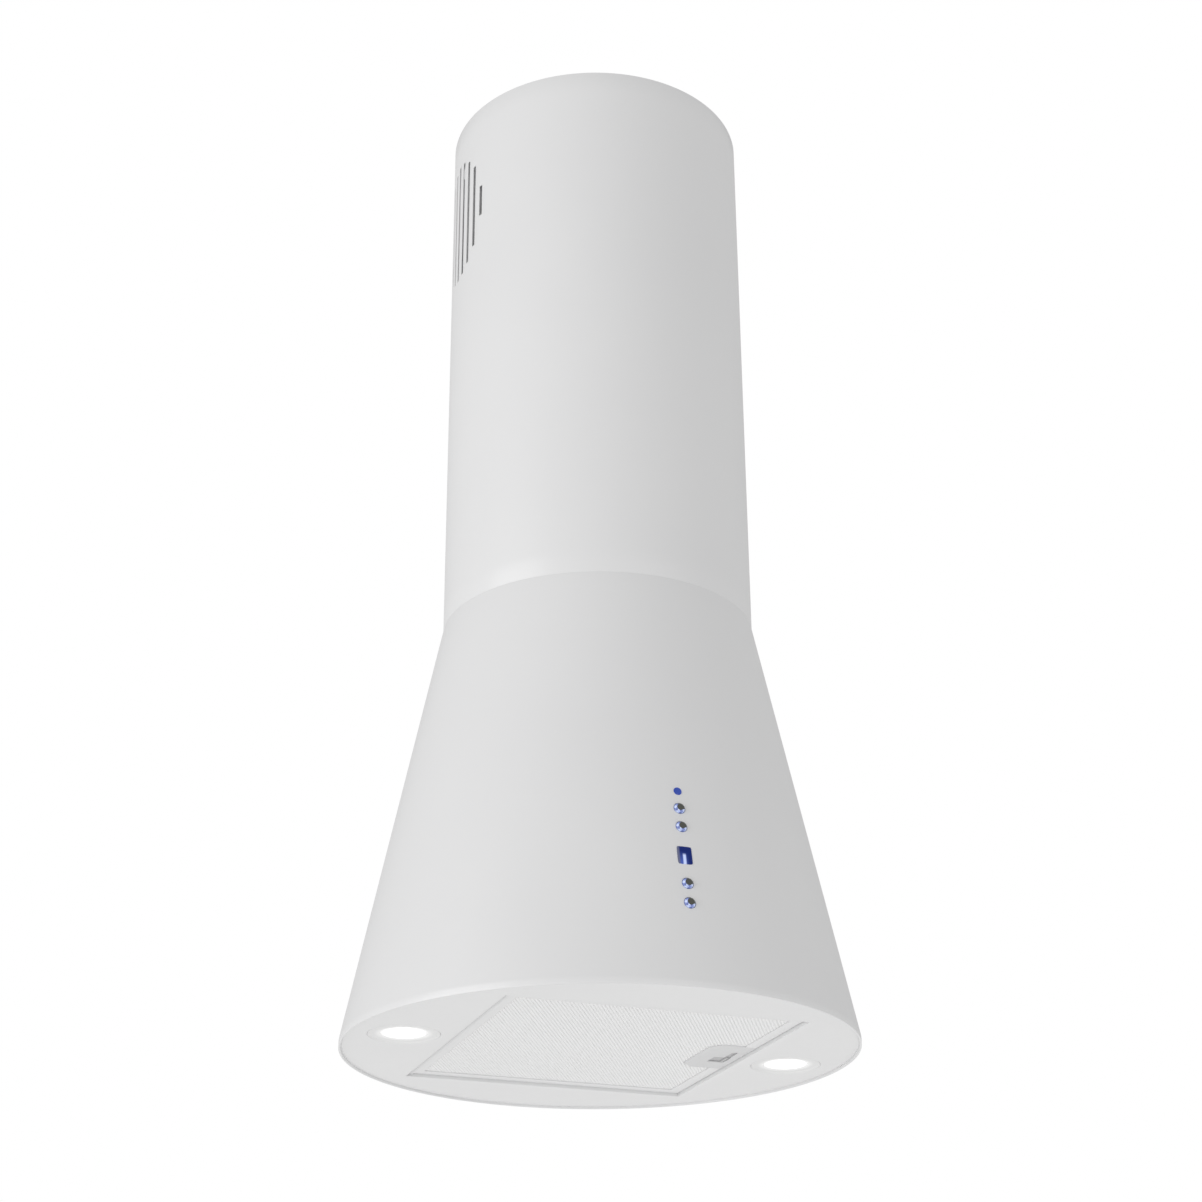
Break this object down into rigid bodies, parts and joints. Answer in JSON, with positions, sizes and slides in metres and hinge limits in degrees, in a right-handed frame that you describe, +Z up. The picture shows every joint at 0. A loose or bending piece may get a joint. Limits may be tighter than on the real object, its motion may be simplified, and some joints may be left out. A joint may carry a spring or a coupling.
{
  "type": "island range hood",
  "caption": "Hanging cooker hood: flared round canopy under a telescopic round cover, with a hinged grease filter, two lamps, push buttons and a blower inside.",
  "frame": {"origin": "centre of the ceiling plate's top face, where the hood is fixed to the ceiling", "axes": "+Z up through the duct, -Y towards the controls on the front of the canopy, +X to the right seen from the front"},
  "size_m": [0.39, 0.3898, 0.812],
  "materials": {
    "white_coat": "glossy white powder coat",
    "inner_coat": "satin white coat",
    "steel": "galvanised sheet",
    "screw": "zinc plated",
    "black_plastic": "moulded black",
    "grey_plastic": "moulded grey",
    "cap_plastic": "smooth",
    "motor_paint": "satin black",
    "core_iron": "laminated iron",
    "rubber": "matt",
    "lamp_ring": "satin white",
    "lamp_lens": "frosted",
    "board": "solder mask",
    "cast": "die cast",
    "display": "backlit window",
    "blue_lens": "clear blue",
    "filter_coat": "satin white coat",
    "mesh_coat": "white coated mesh",
    "mesh_metal": "expanded mesh",
    "latch_grey": "satin grey",
    "impeller_metal": "rolled sheet",
    "crystal": "faceted clear"
  },
  "bodies": {
    "ceiling_mount": {"ceiling_plate": "steel", "upper_upright_1": "steel", "upper_upright_2": "steel", "upper_upright_3": "steel", "upper_upright_4": "steel", "inner_cover": "inner_coat", "inner_cover_brackets": "steel", "mount_fasteners": "screw"},
    "filter": {"filter_frame": "filter_coat", "filter_mesh": "mesh_coat", "filter_core": "mesh_metal", "latch_well": "latch_grey", "latch_spring": "screw"},
    "latch": {"latch_slider": "latch_grey"},
    "fan": {"impeller": "impeller_metal", "motor_shaft": "screw", "motor_rotor": "core_iron"},
    "left_flap": {"flap_left": "black_plastic"},
    "right_flap": {"flap_right": "black_plastic"},
    "push_button_1": {"button_1": "crystal"},
    "push_button_2": {"button_2": "crystal"},
    "push_button_3": {"button_3": "crystal"},
    "push_button_4": {"button_4": "crystal"},
    "hood": {"canopy_shell": "white_coat", "canopy_top_plate": "steel", "lower_upright_1": "steel", "lower_upright_2": "steel", "lower_upright_3": "steel", "lower_upright_4": "steel", "outer_cover": "white_coat", "outlet_spigot": "black_plastic", "flap_pin": "screw", "outlet_transition": "steel", "scroll_wrapper": "steel", "scroll_side_front": "steel", "scroll_side_back": "steel", "motor_can": "motor_paint", "motor_bearings": "screw", "motor_stator": "core_iron", "motor_bracket": "steel", "motor_grommets": "rubber", "chassis_screws": "screw", "control_box": "grey_plastic", "control_box_cover": "grey_plastic", "capacitor": "cap_plastic", "cable_gland": "grey_plastic", "bottom_panel": "white_coat", "panel_brackets": "steel", "filter_seat": "steel", "lamp_bezel_left": "lamp_ring", "lamp_bezel_right": "lamp_ring", "lamp_lens_left": "lamp_lens", "lamp_lens_right": "lamp_lens", "lamp_boards": "board", "lamp_body_left": "cast", "lamp_body_right": "cast", "button_carrier": "black_plastic", "control_board": "board", "display_window": "display", "indicator_lens": "blue_lens"}
  },
  "joints": [
    {"name": "height_adjust", "type": "slide", "parent": "ceiling_mount", "child": "hood", "axis": [0, 0, -1], "range_m": [0, 0.3]},
    {"name": "filter_swing", "type": "hinge", "parent": "hood", "child": "filter", "pos_m": [-0.109, 0, -0.8034], "axis": [0, 1, 0], "range_deg": [0, 80]},
    {"name": "latch_slide", "type": "slide", "parent": "filter", "child": "latch", "axis": [-1, 0, 0], "range_m": [0, 0.005], "stiffness_N_per_m": 600, "deforming": ["latch_spring"]},
    {"name": "fan_spin", "type": "hinge", "parent": "hood", "child": "fan", "pos_m": [0.03, 0, -0.625], "axis": [0, 1, 0], "continuous": true},
    {"name": "left_flap_swing", "type": "hinge", "parent": "hood", "child": "left_flap", "pos_m": [0, 0, -0.448], "axis": [0, 1, 0], "range_deg": [0, 72]},
    {"name": "right_flap_swing", "type": "hinge", "parent": "hood", "child": "right_flap", "pos_m": [0, 0, -0.448], "axis": [0, -1, 0], "range_deg": [0, 72]},
    {"name": "push_1_press", "type": "slide", "parent": "hood", "child": "push_button_1", "axis": [0, 0.9789, -0.2041], "range_m": [0, 0.0012], "stiffness_N_per_m": 900},
    {"name": "push_2_press", "type": "slide", "parent": "hood", "child": "push_button_2", "axis": [0, 0.9789, -0.2041], "range_m": [0, 0.0012], "stiffness_N_per_m": 900},
    {"name": "push_3_press", "type": "slide", "parent": "hood", "child": "push_button_3", "axis": [0, 0.9789, -0.2041], "range_m": [0, 0.0012], "stiffness_N_per_m": 900},
    {"name": "push_4_press", "type": "slide", "parent": "hood", "child": "push_button_4", "axis": [0, 0.9789, -0.2041], "range_m": [0, 0.0012], "stiffness_N_per_m": 900}
  ]
}
